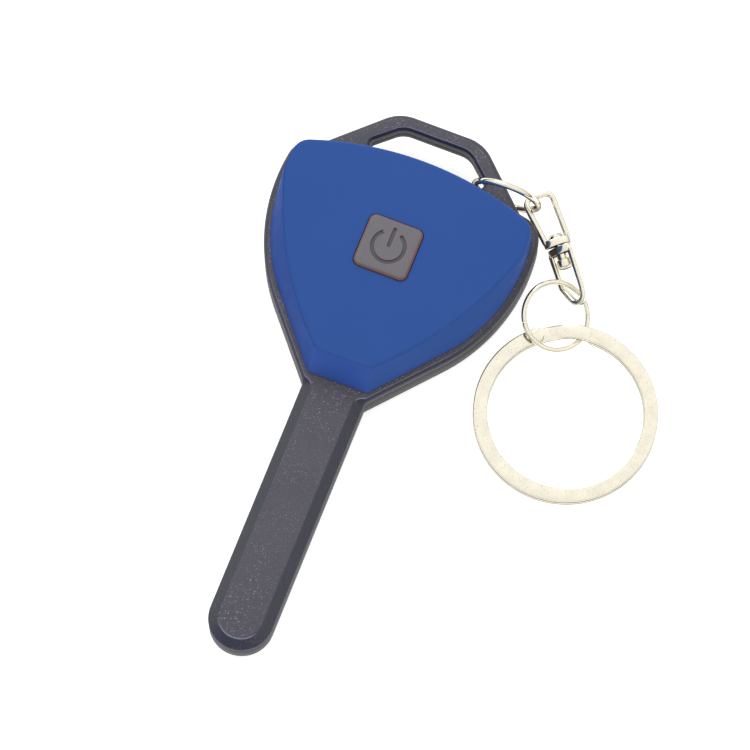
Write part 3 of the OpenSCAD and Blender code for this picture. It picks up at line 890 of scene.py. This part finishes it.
def oval_ring(m, x, across, up, n=ROUND_STEPS):
    """Points of an ellipse square to the swivel's length, at x."""
    return [m @ Vector((x, across * cos(2 * pi * j / n), up * sin(2 * pi * j / n))) for j in range(n)]


def make_eye(name, m, ends, bore, body, node):
    """A strap bent round into an eye, with a broad bar at its near end."""
    leg_v, eye_r, bar_half, bar_rise = 1.6, 0.5, 1.9, 0.95
    strap_t, strap_w, strap_r = 0.8, 1.0, 0.3
    x0 = GAP + BRIDGE / 2 + eye_r
    circles = [(x0, leg_v - eye_r, eye_r), (x0, eye_r - leg_v, eye_r)] + ends
    loop = spread(hull_loop(circles, 144), 0.3)
    section = rounded_section(strap_t, strap_w, strap_r)
    rings = []
    for x, y, nx, ny in loop:
        rings.append([m @ Vector((x + nx * s, y + ny * s, t)) for s, t in section])
    rings.append(rings[0])
    bm = bmesh.new()
    loft(bm, rings)
    eye = new_object(name, bm)
    finish_mesh(eye)
    # The broad bar the rivet goes through, oval across and eased at both faces
    faces = ((0, 0.1), (0.03, 0.03), (0.1, 0), (BRIDGE - 0.1, 0), (BRIDGE - 0.03, 0.03), (BRIDGE, 0.1))
    bar = closed_loft("bar", [oval_ring(m, GAP + x, bar_half - d, bar_rise - d, 64) for x, d in faces])
    finish_mesh(bar)
    drill = closed_loft("drill", [oval_ring(m, x, bore, bore) for x in (-1.0, 1.6)])
    finish_mesh(drill)
    cut(eye, bar, operation="UNION")
    cut(eye, drill)
    own(eye, body, "nickel", [node], 40)


def rounded_section(w, h, r, n=4):
    """Corners of a rounded rectangle, as (across, up) pairs."""
    pts = []
    for k, (sx, sy) in enumerate(CORNERS):
        for i in range(n + 1):
            a = radians(90 * k + 90 * i / n)
            pts.append((sx * (w / 2 - r) + r * cos(a), sy * (h / 2 - r) + r * sin(a)))
    return pts


# The far ends are circles (along, across, radius); the bore's radius follows
make_eye("swivel_upper_eye", swivel_frame(0, 180), [(6.4, 1.2, 1.1), (6.5, -0.5, 1.0)], 0.5,
         "swivel_upper", "swivel_eye_upper")
make_eye("swivel_lower_eye", swivel_frame(40), [(5.55, -1.2, 0.5), (6.35, 0.9, 0.5), (7.1, 0.15, 1.1)],
         0.56, "swivel_lower", "swivel_eye_lower")


def make_rivet():
    """The swivel's pin, turned from a profile of (place along it, radius)."""
    m = swivel_frame(0)
    reach = GAP + BRIDGE
    prof = [(-reach - 0.6, 0.0), (-reach - 0.6, 0.55), (-reach - 0.5, 0.82), (-reach - 0.32, 0.97),
            (-reach - 0.1, 1.0), (-reach, 0.96), (-reach, 0.5), (reach + 0.12, 0.5), (reach + 0.12, 0.75),
            (reach + 0.75, 0.75), (reach + 0.8, 0.9), (reach + 0.9, 1.0), (reach + 1.75, 1.0),
            (reach + 1.98, 0.88), (reach + 2.1, 0.6), (reach + 2.1, 0.0)]
    rings = [oval_ring(m, x, max(r, 1e-3), max(r, 1e-3)) for x, r in prof]
    own(closed_loft("swivel_pin", rings), "swivel_upper", "nickel", ["swivel_rivet"], 40)


make_rivet()


def make_split_ring():
    """Two flat turns of one strip, with a short climb between them and round ends."""
    lo, hi = (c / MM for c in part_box("split_ring"))
    cx, cy = (lo.x + hi.x) / 2, (lo.y + hi.y) / 2
    width, thick, step, round_end = 1.95, 0.75, 0.9, 0.9
    r = (hi.x - lo.x - width) / 2
    # Angles of one end, of the climb's foot and head, and of the other end
    start, climb0, climb1, finish = 95.3, -233.7, -256.7, -594.2
    section = rounded_section(width, thick, 0.2)
    steps = 460
    rings = []
    for i in range(steps + 1):
        a = start + (finish - start) * i / steps
        t = min(1.0, max(0.0, (climb0 - a) / (climb0 - climb1)))
        z = lo.z + thick / 2 + step * t * t * (3 - 2 * t)
        # Round ends
        from_end = min(abs(a - start), abs(finish - a)) * pi / 180 * r
        k = min(1.0, from_end / round_end)
        k = sqrt(max(0.0, 1 - (1 - k) ** 2))
        k = 0.35 + 0.65 * k
        ring = []
        for s, u in section:
            rr = r + s * k
            ring.append((cx + rr * cos(radians(a)), cy + rr * sin(radians(a)), z + u * (0.8 + 0.2 * k)))
        rings.append(ring)
    own(closed_loft("key_ring", rings), "split_ring", "nickel", ["split_ring"], 60)


make_split_ring()


# ---------------------------------------------------------------- studio

def make_floor():
    """Pale paper, just under the object so that no faces coincide."""
    bm = bmesh.new()
    bmesh.ops.create_grid(bm, x_segments=1, y_segments=1, size=3.0)
    floor = new_object("floor", bm)
    g = Graph("floor_paper")
    v = g.coords()
    g.set(Base_Color=g.mix(g.noise(v, 0.05, 2.0), (0.93, 0.93, 0.93), (0.95, 0.95, 0.95)), Roughness=0.9,
          Specular_IOR_Level=0.1)
    g.bsdf.inputs["Emission Color"].default_value = (1, 1, 1, 1)
    g.bsdf.inputs["Emission Strength"].default_value = 0.6
    floor.data.materials.append(g.mat)
    floor.location.z = -0.00002


def make_light(name, direction, distance, size, power):
    """A round area light that looks at the object."""
    data = bpy.data.lights.new(name, "AREA")
    data.shape = "DISK"
    data.size = size
    data.energy = power
    ob = bpy.data.objects.new(name, data)
    d = Vector(direction).normalized()
    ob.location = d * distance
    ob.rotation_mode = "QUATERNION"
    ob.rotation_quaternion = (-d).to_track_quat("-Z", "Y")
    scene.collection.objects.link(ob)


def make_world():
    """The light tent: bright overhead, dark close to the floor."""
    world = bpy.data.worlds.new("studio")
    scene.world = world
    world.use_nodes = True
    nt = world.node_tree
    nt.nodes.clear()
    out = nt.nodes.new("ShaderNodeOutputWorld")
    bg = nt.nodes.new("ShaderNodeBackground")
    tex = nt.nodes.new("ShaderNodeTexCoord")
    sep = nt.nodes.new("ShaderNodeSeparateXYZ")
    ramp = nt.nodes.new("ShaderNodeValToRGB")
    ramp.color_ramp.elements[0].position = 0.0
    ramp.color_ramp.elements[0].color = (0.02, 0.02, 0.025, 1)
    ramp.color_ramp.elements[1].position = 0.7
    ramp.color_ramp.elements[1].color = (1, 1, 1, 1)
    # Black cards stand low round the tent and draw the dark lines in polished metal
    for position, value in ((0.14, 0.04), (0.2, 0.55), (0.35, 0.78)):
        stop = ramp.color_ramp.elements.new(position)
        stop.color = (value, value, value * 1.02, 1)
    # The light tent is a little brighter behind the object than in front
    side = nt.nodes.new("ShaderNodeMapRange")
    side.inputs["From Min"].default_value = -1.0
    side.inputs["To Min"].default_value = 0.8
    side.inputs["To Max"].default_value = 1.12
    nt.links.new(tex.outputs["Generated"], sep.inputs[0])
    nt.links.new(sep.outputs[2], ramp.inputs[0])
    nt.links.new(sep.outputs[1], side.inputs["Value"])
    nt.links.new(side.outputs[0], bg.inputs[1])
    nt.links.new(ramp.outputs[0], bg.inputs[0])
    nt.links.new(bg.outputs[0], out.inputs[0])


make_floor()
make_world()
make_light("key", (-0.55, 0.8, 0.9), 0.7, 0.4, 1.3)
scene.view_settings.view_transform = "Standard"
scene.view_settings.look = "None"
scene.view_settings.exposure = 0.0
scene.view_settings.gamma = 1.0
